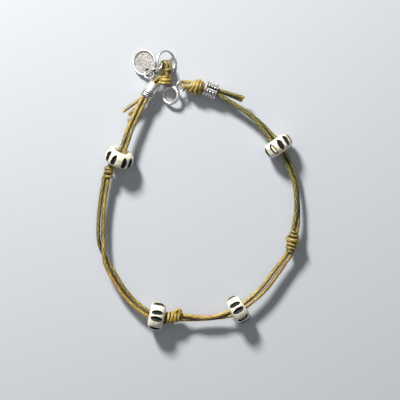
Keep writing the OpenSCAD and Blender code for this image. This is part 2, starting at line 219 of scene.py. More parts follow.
AT_RIGHT_CRIMP = 61
LAST = len(ROUTE) - 1

# How golden each strand is along the route: row, outer strand, inner strand
TONES = np.array([
    [0, 0.5, 0.6],
    [4, 0.65, 0.35],
    [9, 0.3, 0.6],
    [12, 0.3, 0.65],
    [17, 0.1, 0.4],
    [20, 0.15, 0.5],
    [23, 0.3, 0.85],
    [27, 0.42, 0.8],
    [31, 0.35, 0.85],
    [34, 0.75, 0.9],
    [44, 0.5, 0.65],
    [46, 0.2, 0.3],
    [51, 0.2, 0.3],
    [53, 0.25, 0.4],
    [56, 0.05, 0.1],
    [60, 0.15, 0.2],
    [63, 0.5, 0.6],
])

# Each bead's row, the angles of its cuts, and which cut's floor lost its stain
DASHES = {
    "bead_upper_left": (AT_BEAD_1, [137, 104, 58, 27, 351, 318, 288, 250, 212, 174], None),
    "bead_lower_left": (AT_BEAD_2, [27, 72, 99, 148, 180, 214, 248, 292, 328, 358], None),
    "bead_lower_right": (AT_BEAD_3, [14, 62, 91, 132, 162, 198, 240, 292, 320, 346], 3),
    "bead_upper_right": (AT_BEAD_4, [18, 62, 98, 130, 164, 202, 246, 294, 322, 350], 1),
}

# Colours of the waxed cord by tone, in 0 to 255
CORD_TONES = (
    (0.0, (92, 98, 30)),
    (0.4, (136, 114, 34)),
    (0.72, (206, 174, 62)),
    (1.0, (178, 106, 34)),
)

# Turns of cord in a knot: place along the cord, radius, cord radius, lean
TURNS_LEFT = [[-1.05, 0.82, 0.5, 8], [0, 0.9, 0.5, -6], [1.05, 0.8, 0.5, 10]]
TURNS_BOTTOM = [[-1.42, 1.2, 0.46, 14], [-0.47, 1.3, 0.47, 14], [0.48, 1.3, 0.47, 14],
    [1.42, 1.1, 0.45, 14]]
TURNS_RIGHT = [[-2.6, 0.78, 0.42, -12], [-1.65, 1.05, 0.5, -12], [-0.6, 1.1, 0.52, -12],
    [0.62, 1.4, 0.66, -12], [1.82, 0.95, 0.5, -12], [2.75, 0.8, 0.38, -12]]
TURNS_LEFT_END = [[-0.66, 1.14, 0.43, 0], [0.07, 1.28, 0.52, 4], [0.93, 1.15, 0.48, 4]]
TURNS_RIGHT_END = [[-1.8, 1.24, 0.53, 33], [-1.0, 1.64, 0.58, 27], [-0.05, 1.74, 0.6, 15],
    [0.8, 1.5, 0.56, 8], [1.36, 1.12, 0.46, 10]]
TURN_OVER = [[0, 0.92, 0.48, 0]]

# Radius of the cord in the bump of the bottom knot and in the end loops
BUMP_CORD = 0.52
LEFT_LOOP_CORD = 0.56
RIGHT_LOOP_CORD = 0.48

# How a wound cord runs: points in a turn, the share of a turn in which it slips to
# the next, and the share of the radius by which its two ends are tucked in
TURN_POINTS = 56
SLIP = 0.24
TUCK = 0.35

# Middle line of the bump on the bottom knot
BUMP = [[0.7, 1.0, 0.6], [1.5, 1.12, 0.85], [2.0, 1.15, 1.15], [2.12, 1.15, 1.6],
    [1.9, 1.15, 2.0], [1.4, 1.1, 2.1], [0.7, 0.95, 1.75]]

# Where the parts of the end loops are. On the left they are moved from the middle of
# the closing ring, in its own directions. On the right the loop is moved from the knot.
LEFT_LOOP_SHIFT = (-0.1, -0.78, 0)
LEFT_OVER_SHIFT = (-0.1, -1.9, 0.8)
LEFT_KNOT_SHIFT = (-0.3, -4.62, -0.1)
RIGHT_KNOT_AT = (-0.5, 27.95, 2.95)
RIGHT_KNOT_TURN = -8
RIGHT_LOOP_SHIFT = (-2.94, 0.8, -0.335)
RIGHT_LOOP_TILT = 130
RIGHT_LOOP_TURN = -12

# Cut ends: the row of the crimp, the start seen from the crimp, the tip and the tone
TAILS = {
    "left_tail_a": (AT_LEFT_CRIMP, (-0.5, -1.09, SLEEVE_LEN / 2 + 0.08), (-20.4, 21.5, 2.7), 0.35),
    "left_tail_b": (AT_LEFT_CRIMP, (0.5, -1.09, SLEEVE_LEN / 2 + 0.08), (-18.9, 20.6, 2.3), 0.35),
    "right_tail_a": (AT_RIGHT_CRIMP, (-1.1, 0.56, 0.5 - BARREL_LEN / 2), (12.0, 25.1, 3.9), 0.3),
    "right_tail_b": (AT_RIGHT_CRIMP, (-1.1, -0.56, 0.5 - BARREL_LEN / 2), (11.5, 24.35, 2.9), 0.3),
}
TIP_TONE = 0.7

# Poses of the metal pieces: X, Y, Z, turn about Z, tilt about Y
CLOSING_POSE = (-8.9, 34.6, 2.5, 0, 43)
TAG_POSE = (-14.85, 34.7, 1.755, 0, -27)
TAG_RING_POSES = {
    "tag_ring_a": (-13.5, 31.3, 2.75, 80, 33),
    "tag_ring_b": (-12.0, 31.95, 2.95, -71, 41.5),
    "tag_ring_c": (-10.75, 33.25, 3.8, -35.5, -69.5),
}
CLASP_POSE = (-7.7, 25.85, 1.6, 0, -27.7)
JUMP_POSE = (-4.8, 28.22, 3.265, -23.5, 27)

# Lamps: direction from the bracelet, distance, side of the square, power, tint
LAMPS = {
    "window": ((-0.42, 0.80, 0.72), 500, 90, 4.0, (1.0, 0.985, 0.96)),
    "soft_top": ((0.1, 0.05, 1.0), 700, 600, 0.8, (0.95, 0.98, 1.0)),
    "left_card": ((-0.8, 0.1, 0.6), 600, 500, 0.32, (1.0, 0.97, 0.95)),
}
WORLD_COLOUR = (0.62, 0.66, 0.72, 1)
WORLD_STRENGTH = 0.1
FLOOR_REACH = 600


def colour(red, green, blue):
    """A colour given in 0 to 255 as a screen shows it, as linear light."""
    screen = np.array([red, green, blue]) / 255
    linear = np.where(screen <= 0.04045, screen / 12.92, ((screen + 0.055) / 1.055) ** 2.4)
    return (*linear.tolist(), 1.0)


def unit(vectors):
    """Each vector divided by its own length."""
    vectors = np.asarray(vectors, float)
    return vectors / np.linalg.norm(vectors, axis=-1, keepdims=True)


def ease(x):
    """3x^2 - 2x^3 on x held between 0 and 1."""
    x = np.clip(x, 0, 1)
    return x * x * (3 - 2 * x)


class Place:
    """A position and a turn. The columns are its own X, Y and Z directions."""

    def __init__(self, origin=(0, 0, 0), columns=None):
        self.origin = np.array(origin, float)
        self.columns = np.eye(3) if columns is None else columns

    def __call__(self, points):
        """Points given in this place's own directions, in the part's frame."""
        return self.origin + np.asarray(points, float) @ self.columns.T

    def moved(self, x, y, z):
        """Moved along its own directions."""
        return Place(self((x, y, z)), self.columns)

    def slanted(self, rise, slant):
        """A lean to the side of RISE per step along, and along of SLANT per step to the side."""
        return Place(self.origin, self.columns @ np.array([[1, 0, rise], [0, 1, 0], [slant, 0, 1]]))

    def turned(self, x=0, y=0, z=0):
        """Turns about X first, then Y, then Z, in degrees."""
        cos_x, cos_y, cos_z = np.cos(np.radians((x, y, z)))
        sin_x, sin_y, sin_z = np.sin(np.radians((x, y, z)))
        about_x = np.array([[1, 0, 0], [0, cos_x, -sin_x], [0, sin_x, cos_x]])
        about_y = np.array([[cos_y, 0, sin_y], [0, 1, 0], [-sin_y, 0, cos_y]])
        about_z = np.array([[cos_z, -sin_z, 0], [sin_z, cos_z, 0], [0, 0, 1]])
        return Place(self.origin, self.columns @ about_z @ about_y @ about_x)


def posed(pose):
    """The place of a metal piece from its line of the tables above."""
    return Place(pose[:3]).turned(z=pose[3]).turned(y=pose[4])


def route_direction(row):
    """Along a straight stretch at both its ends, from neighbour to neighbour elsewhere."""
    if row < LAST and ROUTE[row, 5] == 1:
        first, second = row, row + 1
    elif row > 0 and ROUTE[row - 1, 5] == 1:
        first, second = row - 1, row
    else:
        first, second = max(row - 1, 0), min(row + 1, LAST)
    return unit(ROUTE[second, :3] - ROUTE[first, :3])


def pair_directions(along):
    """Side and up for a cord that runs along: side lies level, up is across both."""
    side = unit(np.cross((0, 0, 1), along))
    return side, np.cross(along, side)


def on_stretch(row):
    """Place at the middle of a straight stretch, X to the side, Y up, Z along the cord."""
    along = route_direction(row)
    side, up = pair_directions(along)
    return Place((ROUTE[row, :3] + ROUTE[row + 1, :3]) / 2, np.stack([side, up, along], 1))


class Shape:
    """Grids of points gathered into one mesh, with a number per point for each finish."""

    # The last number is real stain and tarnish on bone and silver, and painted shade on the cords.
    NUMBERS = ("crest", "tone", "yarn", "stain")

    def __init__(self):
        self.points = []
        self.corners = []
        self.sides = []
        self.numbers = {name: [] for name in self.NUMBERS}
        self.unrolled = []
        self.count = 0

    def add(self, points, faces, unrolled=None, **numbers):
        """Appends points (n, 3) in millimetres and faces as arrays of 3 or 4 columns."""
        n = len(points)
        for table in faces:
            self.corners.append((table + self.count).ravel())
            self.sides.append(np.full(len(table), table.shape[1]))
        self.points.append(points)
        for name in self.NUMBERS:
            self.numbers[name].append(np.broadcast_to(numbers.get(name, 0.0), n))
        self.unrolled.append(np.zeros((n, 2)) if unrolled is None else unrolled)
        self.count += n

    def grid(self, points, round_u=False, cap=False, unrolled=None, **numbers):
        """A surface of points (nu, nv, 3) that is round along v.

        It is round along u too, or CAP closes both its u ends.
        """
        nu, nv = points.shape[:2]
        place = np.arange(nu * nv).reshape(nu, nv)
        if round_u:
            place = np.concatenate([place, place[:1]])
        place = np.concatenate([place, place[:, :1]], 1)
        quads = np.stack([place[:-1, :-1], place[1:, :-1], place[1:, 1:], place[:-1, 1:]], -1)
        faces = [quads.reshape(-1, 4)]
        flat = points.reshape(-1, 3)
        values = {k: np.broadcast_to(v, (nu, nv)).ravel() for k, v in numbers.items()}
        if unrolled is not None:
            unrolled = unrolled.reshape(-1, 2)
        if cap:
            flat = np.concatenate([flat, points[:1].mean(1), points[-1:].mean(1)])
            first = place[0]
            last = place[-1]
            hub = nu * nv
            faces.append(np.stack([first[:-1], first[1:], np.full(len(first) - 1, hub)], 1))
            faces.append(np.stack([last[1:], last[:-1], np.full(len(last) - 1, hub + 1)], 1))
            values = {k: np.concatenate([v, v[:1], v[-1:]]) for k, v in values.items()}
            if unrolled is not None:
                unrolled = np.concatenate([unrolled, unrolled[:1], unrolled[-1:]])
        self.add(flat, faces, unrolled, **values)

    def piece(self, name, finish, body="bracelet"):
        """One smooth mesh object at the origin, in metres, outward facing, riding on a body."""
        points = np.concatenate(self.points) * MM
        corners = np.concatenate(self.corners)
        sides = np.concatenate(self.sides)
        mesh = bpy.data.meshes.new(name)
        mesh.vertices.add(len(points))
        mesh.vertices.foreach_set("co", points.astype(np.float32).ravel())
        mesh.loops.add(len(corners))
        mesh.loops.foreach_set("vertex_index", corners.astype(np.int32))
        mesh.polygons.add(len(sides))
        mesh.polygons.foreach_set("loop_start", (np.cumsum(sides) - sides).astype(np.int32))
        mesh.update(calc_edges=True)
        for key in self.NUMBERS:
            values = np.concatenate(self.numbers[key])
            if np.ptp(values) > 0 or values[0] != 0:
                layer = mesh.attributes.new(key, "FLOAT", "POINT")
                layer.data.foreach_set("value", values.astype(np.float32))
        unrolled = np.concatenate(self.unrolled)
        if np.ptp(unrolled) > 0:
            layer = mesh.uv_layers.new(name="Unrolled")
            layer.data.foreach_set("uv", unrolled[corners].astype(np.float32).ravel())
        shell = bmesh.new()
        shell.from_mesh(mesh)
        bmesh.ops.recalc_face_normals(shell, faces=shell.faces)
        shell.to_mesh(mesh)
        shell.free()
        mesh.polygons.foreach_set("use_smooth", np.full(len(mesh.polygons), True))
        mesh.materials.append(finish.material)
        made = bpy.data.objects.new(name, mesh)
        bpy.context.scene.collection.objects.link(made)
        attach(made, body)
        return made


# Finishes


class Value:
    """A shader output that Python's operators work on: each adds a Math node."""

    def __init__(self, finish, socket):
        self.finish = finish
        self.socket = socket

    def _math(self, operation, *terms):
        return self.finish.node("ShaderNodeMath", dict(enumerate(terms)), operation=operation)

    def __add__(self, other):
        return self._math("ADD", self, other)

    def __radd__(self, other):
        return self._math("ADD", other, self)

    def __sub__(self, other):
        return self._math("SUBTRACT", self, other)

    def __rsub__(self, other):
        return self._math("SUBTRACT", other, self)

    def __mul__(self, other):
        return self._math("MULTIPLY", self, other)

    def __rmul__(self, other):
        return self._math("MULTIPLY", other, self)

    def step(self, low, high):
        """0 below low, 1 above high, and a smooth rise between."""
        return self.finish.node(
            "ShaderNodeMapRange", {"Value": self, "From Min": low, "From Max": high},
            interpolation_type="SMOOTHSTEP",
        )


class Finish:
    """A material whose nodes are added by method and by the operators of Value."""

    def __init__(self, name, slot):
        self.slot = slot
        self.material = bpy.data.materials.new(name)
        self.material.use_nodes = True
        self.nodes = self.material.node_tree.nodes
        self.links = self.material.node_tree.links
        self.shader = self.nodes["Principled BSDF"]
        self.coordinates = self.node("ShaderNodeTexCoord", out="Object")

    def node(self, kind, sockets=None, out=0, stops=None, **settings):
        """Adds a node: its settings, then a ramp's stops, then each socket's value or link."""
        made = self.nodes.new(kind)
        for key, value in settings.items():
            setattr(made, key, value)
        if stops:
            ramp = made.color_ramp
            while len(ramp.elements) < len(stops):
                ramp.elements.new(0.5)
            for element, (at, shade) in zip(ramp.elements, stops):
                element.position = at
                element.color = colour(*shade)
        self.fill(made, sockets or {})
        return Value(self, made.outputs[out])

    def fill(self, made, sockets):
        """Links each named socket to a Value, or sets its number or colour."""
        for key, value in sockets.items():
            if isinstance(value, Value):
                self.links.new(value.socket, made.inputs[key])
            else:
                made.inputs[key].default_value = value

    def number(self, name):
        """A number that the mesh carries at each point."""
        return self.node("ShaderNodeAttribute", attribute_name=name, out="Fac")

    def noise(self, size, detail=3.0, stretch=(1, 1, 1)):
        """Noise whose features are SIZE millimetres across on the object."""
        scale = [s / (size * MM) for s in stretch]
        place = self.node("ShaderNodeMapping", {"Vector": self.coordinates, "Scale": scale})
        return self.node("ShaderNodeTexNoise", {"Vector": place, "Scale": 1.0, "Detail": detail})

    def mix(self, first, second, factor):
        """The first colour at factor 0, the second at 1."""
        return self.node(
            "ShaderNodeMix", {0: factor, 6: first, 7: second}, out=2,
            data_type="RGBA", clamp_factor=True,
        )

    def bump(self, height, depth, strength=1.0):
        """Normals of a surface raised by HEIGHT times DEPTH millimetres."""
        sockets = {"Height": height, "Distance": depth * MM, "Strength": strength}
        return self.node("ShaderNodeBump", sockets)

    def set(self, **sockets):
        """Sets the shader's sockets, named with _ for a space."""
        self.fill(self.shader, {key.replace("_", " "): value for key, value in sockets.items()})


def cord_finish(name, slot):
    """Waxed braid, from green-khaki at tone 0 over gold to amber at tone 1.

    It has painted shade between the yarns and where two cords touch, and is flecked by yarn.
    """
    finish = Finish(name, slot)
    # On a cord the last number is painted shade: on the side that faces a neighbouring cord and in
    # the creases between wound turns.
    touching = finish.number("stain")
    crest = finish.number("crest")
    tone = finish.number("tone")
    yarn = finish.number("yarn")
    patch = finish.noise(5.0, detail=1.0)
    wax = finish.noise(0.9, detail=4.0)
    grain = finish.noise(0.12, detail=2.0)
    dirt = finish.noise(0.45, detail=3.0)
    golden = tone + (patch - 0.5) * 1.1 + (wax - 0.5) * 0.5
    base = finish.node("ShaderNodeValToRGB", {"Fac": golden}, stops=CORD_TONES)
    lit = finish.mix(base, colour(246, 230, 158), yarn.step(0.6, 1.0) * 0.4)
    flecked = finish.mix(lit, colour(48, 34, 12), (1 - yarn).step(0.6, 1.0) * 0.5)
    grained = finish.mix(flecked, colour(56, 40, 14), (grain + dirt).step(0.95, 1.3) * 0.7)
    # Painted shade where a cord faces its neighbour and in the creases of a knot.
    shaded = finish.mix(grained, colour(34, 24, 10), touching)
    # Painted shade in the gaps between yarns, where the crest is low; the knot cores, at crest
    # 0.25, get most of it too.
    deep = finish.mix(colour(28, 20, 8), shaded, crest.step(0.05, 0.6))
    finish.set(
        Base_Color=deep,
        Roughness=0.5 - crest * 0.15 + (wax - 0.5) * 0.2,
        Coat_Weight=crest * 0.8,
        Normal=finish.bump(grain + wax * 0.4, 0.03),
    )
    finish.set(Coat_Roughness=0.38)
    return finish


def bone_finish():
    """Polished ivory bone with a faint grain, stained near black in the cuts."""
    finish = Finish("bone", "bone")
    stain = finish.number("stain")
    cloud = finish.noise(2.2, detail=4.0)
    grain = finish.noise(0.28, detail=3.0, stretch=(1, 1, 0.35))
    edge = finish.noise(0.22, detail=2.0)
    ivory = finish.mix(colour(246, 240, 222), colour(222, 205, 168), cloud.step(0.45, 0.75))
    grained = finish.mix(ivory, colour(176, 148, 100), grain.step(0.52, 0.75) * 0.5)
    cut = (stain + (edge - 0.5) * 0.35).step(0.3, 0.55)
    finish.set(
        Base_Color=finish.mix(grained, colour(16, 11, 7), cut),
        Roughness=0.28 + cut * 0.4 + (grain - 0.5) * 0.15,
        Coat_Weight=0.35 - cut * 0.35,
        Normal=finish.bump(grain, 0.02),
    )
    finish.set(Coat_Roughness=0.12)
    return finish


def silver_finish(name, scratch, tarnish):
    """Polished silver: fine scratches, soft dents and a grey film in the hollows."""
    finish = Finish(name, "silver")
    stain = finish.number("stain")
    dents = finish.noise(0.8, detail=2.0)
    scratches = finish.noise(0.1, detail=3.0, stretch=(1, 0.12, 1))
    film = finish.noise(0.5, detail=4.0)
    dull = (stain + (film - 0.5) * 0.5).step(0.35, 0.9)
    bright = finish.mix(colour(244, 243, 240), colour(214, 209, 202), film.step(0.4, 0.7))
    finish.set(
        Base_Color=finish.mix(bright, tarnish, dull),
        Roughness=0.38 + scratches * scratch + dull * 0.2,
        Normal=finish.bump(dents * 0.7 + scratches * 0.25, 0.06, strength=0.7),
    )
    finish.set(Metallic=1.0)
    return finish


# Surfaces


def braid(length, angle):
    """Crest and yarn of a round braid at a length along it and an angle round it.

    Two sets of helices cross. In every second diamond one set lies on top. A yarn's
    crest is the root of the sine across it, lower where it dives under its neighbour.
    """
    turn = angle / TURN * BRAID_YARNS
    climb = length / BRAID_PITCH * BRAID_YARNS
    right = turn + climb
    left = turn - climb
    on_top = (np.floor(right) + np.floor(left)) % 2 == 0
    across = np.where(on_top, right, left) % 1
    along = np.where(on_top, left, right) % 1
    crest = np.sqrt(np.sin(math.pi * across)) * (0.55 + 0.45 * np.sin(math.pi * along))
    number = np.where(on_top, np.floor(right), np.floor(left) + 0.5)
    yarn = 0.5 + 0.5 * np.sin(number * 2.4 + np.where(on_top, 0.7, 2.9))
    return crest, yarn


def arc_length(path):
    """The way along the path at each of its points."""
    return np.concatenate([[0], np.cumsum(np.linalg.norm(np.diff(path, axis=0), axis=1))])


def resampled(path, step, *columns):
    """The path with points at even steps, and columns of numbers along it the same way."""
    way = arc_length(path)
    even = np.linspace(0, way[-1], max(int(round(way[-1] / step)), 8) + 1)
    out = [np.stack([np.interp(even, way, path[:, k]) for k in range(3)], 1)]
    for column in columns:
        out.append(np.interp(even, way, np.broadcast_to(column, len(path))))
    return out


def swept(path, radius, across, sides, closed=False):
    """Points round a path: path + r (cos a side + sin a up), r a number or a table of rows."""
    along = np.gradient(path, axis=0)
    if closed:
        along = np.roll(path, -1, 0) - np.roll(path, 1, 0)
    along = unit(along)
    side = unit(np.cross(np.broadcast_to(across, path.shape), along))
    up = np.cross(along, side)
    angle = np.arange(sides)[None, :, None] / sides * TURN
    spoke = np.cos(angle) * side[:, None] + np.sin(angle) * up[:, None]
    return path[:, None] + np.broadcast_to(radius, spoke.shape[:2])[..., None] * spoke


def add_cord(shape, path, radius, across, tone, sides=32, step=0.11, start=0.0,
        towards=None, wound=False):
    """A braided cord along a path with round ends: cord radius plus relief times crest.

    START is how far along its braid it begins. TOWARDS is the angle at which a neighbour
    lies against it, where shade is painted on. A WOUND cord has a neighbour on both sides
    and gets painted shade in the creases between turns.
    """
    touching = 0.0 if towards is None else towards
    path, radius, tone, touching = resampled(path, step, radius, tone, touching)
    along = unit(np.gradient(path, axis=0))
    lift = np.radians([80, 60, 38, 18])
    head = path[:1] - along[:1] * radius[0] * np.sin(lift)[:, None] * 0.7
    tail = path[-1:] + along[-1:] * radius[-1] * np.sin(lift[::-1])[:, None] * 0.7
    path = np.concatenate([head, path, tail])
    radius = np.concatenate([radius[0] * np.cos(lift), radius, radius[-1] * np.cos(lift[::-1])])
    tone = np.pad(tone, len(lift), mode="edge")
    touching = np.pad(touching, len(lift), mode="edge")
    length = arc_length(path)[:, None] + start
    angle = np.arange(sides)[None] / sides * TURN
    crest, yarn = braid(length, angle)
    size = np.minimum(radius / (CORD_D / 2), 1)
    outline = radius[:, None] + BRAID_RELIEF * (crest - BRAID_MEAN) * size[:, None]
    unrolled = np.stack(np.broadcast_arrays(length / 10, angle / TURN), -1)
    # Painted shade on the side that faces a neighbouring cord; a wound cord gets it in the creases
    # between turns instead.
    painted_shade = 0.0
    if towards is not None:
        painted_shade = 0.85 * ease((np.cos(angle - touching[:, None]) - 0.25) / 0.6)
    if wound:
        painted_shade = 0.9 * ease((np.abs(np.sin(angle)) - 0.62) / 0.3)
    shape.grid(swept(path, outline, across, sides), cap=True, unrolled=unrolled,
        crest=crest, yarn=yarn, tone=tone[:, None], stain=painted_shade)


def round_points(radius, angle, z):
    """Points at a radius and an angle round Z, and at a height."""
    radius, angle, z = np.broadcast_arrays(radius, angle, z)
    return np.stack([radius * np.cos(angle), radius * np.sin(angle), z], -1)


def ring_path(radius, steps, start=0.0, end=360.0):
    """Points of a circle in the XY plane. A whole circle leaves out its last point."""
    angle = np.radians(np.linspace(start, end, steps, endpoint=end - start < 360))
    return round_points(radius, angle, 0.0)


def add_wire_ring(shape, place, radius, wire, steps, sides, seam=None):
    """A closed ring of round wire, with a faint seam where its ends meet."""
    angle = np.arange(steps) / steps * TURN
    thick = wire / 2 * (1 + 0.012 * np.sin(3 * angle + 1) + 0.008 * np.sin(7 * angle))
    stain = np.zeros(steps)
    if seam is not None:
        off = np.abs((angle - math.radians(seam) + math.pi) % TURN - math.pi) * radius
        dip = np.exp(-(off / 0.07) ** 2)
        thick = thick * (1 - 0.1 * dip)
        stain = dip
    path = place(ring_path(radius, steps))
    axis = place.columns[:, 2]
    points = swept(path, thick[:, None], axis, sides, closed=True)
    shape.grid(points, round_u=True, stain=stain[:, None])


def wrap_path(turns):
    """The path of one cord wound through every turn of a table, and its radius.

    The angle runs on without a stop. Each turn keeps its own circle, and over the
    last part of a turn, on the side away from view, the cord slips to the next.
    """
    table = np.array(turns, float)
    count = len(table)
    progress = np.linspace(0, count, count * TURN_POINTS + 1)
    turn = np.minimum(np.floor(progress), count - 1)
    row = turn + ease((progress - turn - (1 - SLIP)) / SLIP)
    row = np.clip(row, 0, count - 1)
    z, radius, cord, lean = (np.interp(row, np.arange(count), table[:, k]) for k in range(4))
    end = np.minimum(progress, count - progress) * 8
    radius = radius * (1 - TUCK * (1 - ease(end)))
    angle = np.radians(360 * SLIP / 2 - 90) + TURN * progress
    lean = np.radians(lean)
    y = radius * np.sin(angle)
    path = np.stack([radius * np.cos(angle), y * np.cos(lean), z + y * np.sin(lean)], 1)
    return path, cord


def add_wraps(shape, place, turns, tone):
    """One cord wound round the Z direction of a place, through a table of turns."""
    path, cord = wrap_path(turns)
    add_cord(shape, place(path), cord, place.columns[:, 2], tone, sides=28, step=0.13, wound=True)


def turned_points(radius, height, sides):
    """Points of a form turned about Z, from its outline's radii and heights."""
    return round_points(radius[:, None], np.arange(sides) / sides * TURN, height[:, None])


def add_core(shape, place, radius, length, tone):
    """What is inside a knot: a stubby round form, r = R (1 - (2z/L)^6)^(1/6)."""
    across = np.linspace(-1, 1, 20)
    outline = radius * np.maximum(1 - np.abs(across) ** 6, 0.0) ** (1 / 6) + 0.02
    points = turned_points(outline, across * length / 2, 24)
    # Crest 0.25 gives the core mostly the painted shade of the gaps between yarns.
    shape.grid(place(points), cap=True, crest=0.25, yarn=0.4, tone=tone)


# The cord pair


def pair_route(step=0.12):
    """Middle, half gap, roll and row of the pair on a smooth curve through the route.

    Between two rows the middle is a cubic whose ends run along the rows' directions,
    and the gap and the roll ease from one row to the next.
    """
    points = ROUTE[:, :3]
    along = np.array([route_direction(row) for row in range(LAST + 1)])
    span = np.linalg.norm(np.diff(points, axis=0), axis=1)
    counts = np.maximum((span / step).astype(int), 2)
    row = np.concatenate([k + np.arange(n) / n for k, n in enumerate(counts)] + [[LAST]])
    k = np.minimum(row.astype(int), LAST - 1)
    t = (row - k)[:, None]
    reach = span[k][:, None]
    middle = (
        (2 * t**3 - 3 * t**2 + 1) * points[k] + (t**3 - 2 * t**2 + t) * reach * along[k]
        + (3 * t**2 - 2 * t**3) * points[k + 1] + (t**3 - t**2) * reach * along[k + 1]
    )
    way = arc_length(middle)
    stations = way[np.concatenate([[0], np.cumsum(counts)])]
    window = np.hanning(15) / np.hanning(15).sum()
    eased = []
    for column in (3, 4):
        even = np.interp(way, stations, ROUTE[:, column])
        eased.append(np.convolve(np.pad(even, 7, mode="edge"), window, "valid"))
    return middle, eased[0], eased[1], row


def make_strand(name, which, finish):
    """One strand of the pair: middle + h (cos roll side + sin roll up), WHICH -1 or 1 times h.

    The other strand lies against it in the direction of the roll, or opposite to it.
    """
    middle, half_gap, roll, row = pair_route()
    along = unit(np.gradient(middle, axis=0))
    side, up = pair_directions(along)
    angle = np.radians(roll)[:, None]
    offset = which * half_gap[:, None] * (np.cos(angle) * side + np.sin(angle) * up)
    # The side towards the other strand, where add_cord paints shade.
    towards = angle[:, 0]
    column = 1
    start = 0.0
    if which > 0:
        towards = towards + math.pi
        column = 2
        start = STRAND_B_START
    tone = np.interp(row, TONES[:, 0], TONES[:, column])
    shape = Shape()
    add_cord(shape, middle + offset, CORD_D / 2, (0, 0, 1), tone, sides=40, step=0.12,
        start=start, towards=towards)
    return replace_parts(shape.piece(name, finish), name)


# Beads


def bead_outline():
    """The bead's closed section as radius and place along its axis, dense where cuts are."""
    rim = BEAD_D / 2
    half = BEAD_W / 2
    flat = half - BEAD_ROUND
    shoulder = rim - BEAD_ROUND
    mouth = BEAD_HOLE / 2 + MOUTH_FLARE
    hole = BEAD_HOLE / 2
    arc = np.radians(np.linspace(90, 0, 34))
    over = np.stack([shoulder + BEAD_ROUND * np.cos(arc), flat + BEAD_ROUND * np.sin(arc)], 1)
    top = np.concatenate([
        np.linspace((hole, 0), (hole, half - BEAD_MOUTH), 6)[:-1],
        np.linspace((hole, half - BEAD_MOUTH), (mouth, half), 6)[:-1],
        np.linspace((mouth, half), (shoulder, half), 5)[:-1],
        over,
        np.linspace((rim, flat), (rim, 0), 11)[1:],
    ])
    bottom = top[1:-1][::-1] * (1, -1)
    return np.concatenate([top, bottom])


def cut_floor(off, depth, width):
    """Height of a cut's floor: rim minus depth, plus slope times the way off its flat."""
    tip = 0.1 * DASH_W
    slope = 2 * DASH_DEPTH / (DASH_W - 2 * tip)
    return BEAD_D / 2 - depth + np.maximum(np.abs(off) / width - tip, 0) * slope


def make_bead(name, row, dashes, worn, finish, seed):
    """A turned disc, r(z), lowered to the floor of each file cut, with a faint wobble.

    Every cut is filed by hand: its depth, width, middle and slant differ a little.
    """
    outline = bead_outline()
    steps = 384
    angle = np.arange(steps)[:, None] / steps * TURN
    radius = np.broadcast_to(outline[None, :, 0], (steps, len(outline)))
    z = np.broadcast_to(outline[None, :, 1], radius.shape)
    outer = radius > BEAD_HOLE / 2 + 0.5
    wobble = 0.02 * np.sin(2 * angle + seed) + 0.012 * np.sin(5 * angle + 2 * seed + z)
    stain = np.zeros(radius.shape)
    lowered = radius
    for k, degrees in enumerate(dashes):
        turn = (angle - math.radians(degrees) + math.pi) % TURN - math.pi
        slant = 0.09 * math.sin(seed * 3 + k * 1.9)
        taper = 0.16 * math.sin(seed * 5 + k * 2.3)
        deep = DASH_DEPTH * (1 + 0.08 * math.sin(seed + k * 2.7)) + 0.05 * taper * z
        width = 1 + taper * z / 1.6
        off = radius * np.sin(turn) + slant * z + 0.03 * np.sin(4 * z + k)
        near = np.cos(turn) > 0.5
        floor = np.where(near, cut_floor(off, deep, width) / np.maximum(np.cos(turn), 0.5), 99.0)
        depth = np.where(outer, radius - floor, 0)
        bare = 0.8 * ease((depth - 0.28) / 0.12) if k == worn else 0.0
        stain = np.maximum(stain, ease(depth / 0.06) - bare)
        lowered = np.minimum(lowered, np.where(outer, floor, radius))
    points = round_points(lowered + np.where(outer, wobble, 0), angle, z)
    shape = Shape()
    shape.grid(on_stretch(row)(points), round_u=True, stain=stain)
    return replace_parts(shape.piece(name, finish), name)


# Knots


def make_knot_left(finish):
    """Three turns, a little askew on the pair."""
    shape = Shape()
    place = on_stretch(AT_KNOT_LEFT).turned(y=19)
    add_wraps(shape, place, TURNS_LEFT, tone=0.35)
    add_core(shape, place, radius=0.86, length=2.6, tone=0.4)
    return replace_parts(shape.piece("knot_left", finish), "knot_left")


def curve_through(points, steps=12):
    """A smooth curve through a few points, by Catmull and Rom's cubic."""
    points = np.array(points, float)
    before = 2 * points[0] - points[1]
    after = 2 * points[-1] - points[-2]
    padded = np.concatenate([[before], points, [after]])
    t = np.linspace(0, 1, steps, endpoint=False)[None, :, None]
    a, b, c, d = (padded[k : k + len(points) - 1, None] for k in range(4))
    square = 2 * a - 5 * b + 4 * c - d
    cube = 3 * b - a - 3 * c + d
    curve = 0.5 * (2 * b + (c - a) * t + square * t**2 + cube * t**3)
    return np.concatenate([curve.reshape(-1, 3), points[-1:]])


def make_knot_bottom(finish):
    """Turns that slant along the cord, and a bump of cord at their upper end."""
    shape = Shape()
    place = on_stretch(AT_KNOT_BOTTOM)
    add_wraps(shape, place.slanted(rise=0.14, slant=0.3), TURNS_BOTTOM, tone=0.65)
    add_core(shape, place, radius=0.9, length=3.2, tone=0.6)
    add_cord(shape, place(curve_through(BUMP)), BUMP_CORD, place.columns[:, 1], tone=0.75)
    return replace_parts(shape.piece("knot_bottom", finish), "knot_bottom")


def make_knot_right(finish):
    """Six turns of unlike size, one of them much thicker."""
    shape = Shape()
    place = on_stretch(AT_KNOT_RIGHT)
    add_wraps(shape, place, TURNS_RIGHT, tone=0.5)
    add_core(shape, place.moved(0, 0, 0.1), radius=0.88, length=5.6, tone=0.4)
    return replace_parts(shape.piece("knot_right", finish), "knot_right")


def loop_path(radius, leg):
    """Up one leg, round half a circle and back down the other, in the YZ plane."""
    angle = np.radians(np.linspace(0, 180, 40))
    bend = np.stack([0 * angle, radius * np.sin(angle), radius * np.cos(angle)], 1)
    first = np.array([[0, -leg, radius]])
    return np.concatenate([first, bend, first * (1, 1, -1)])


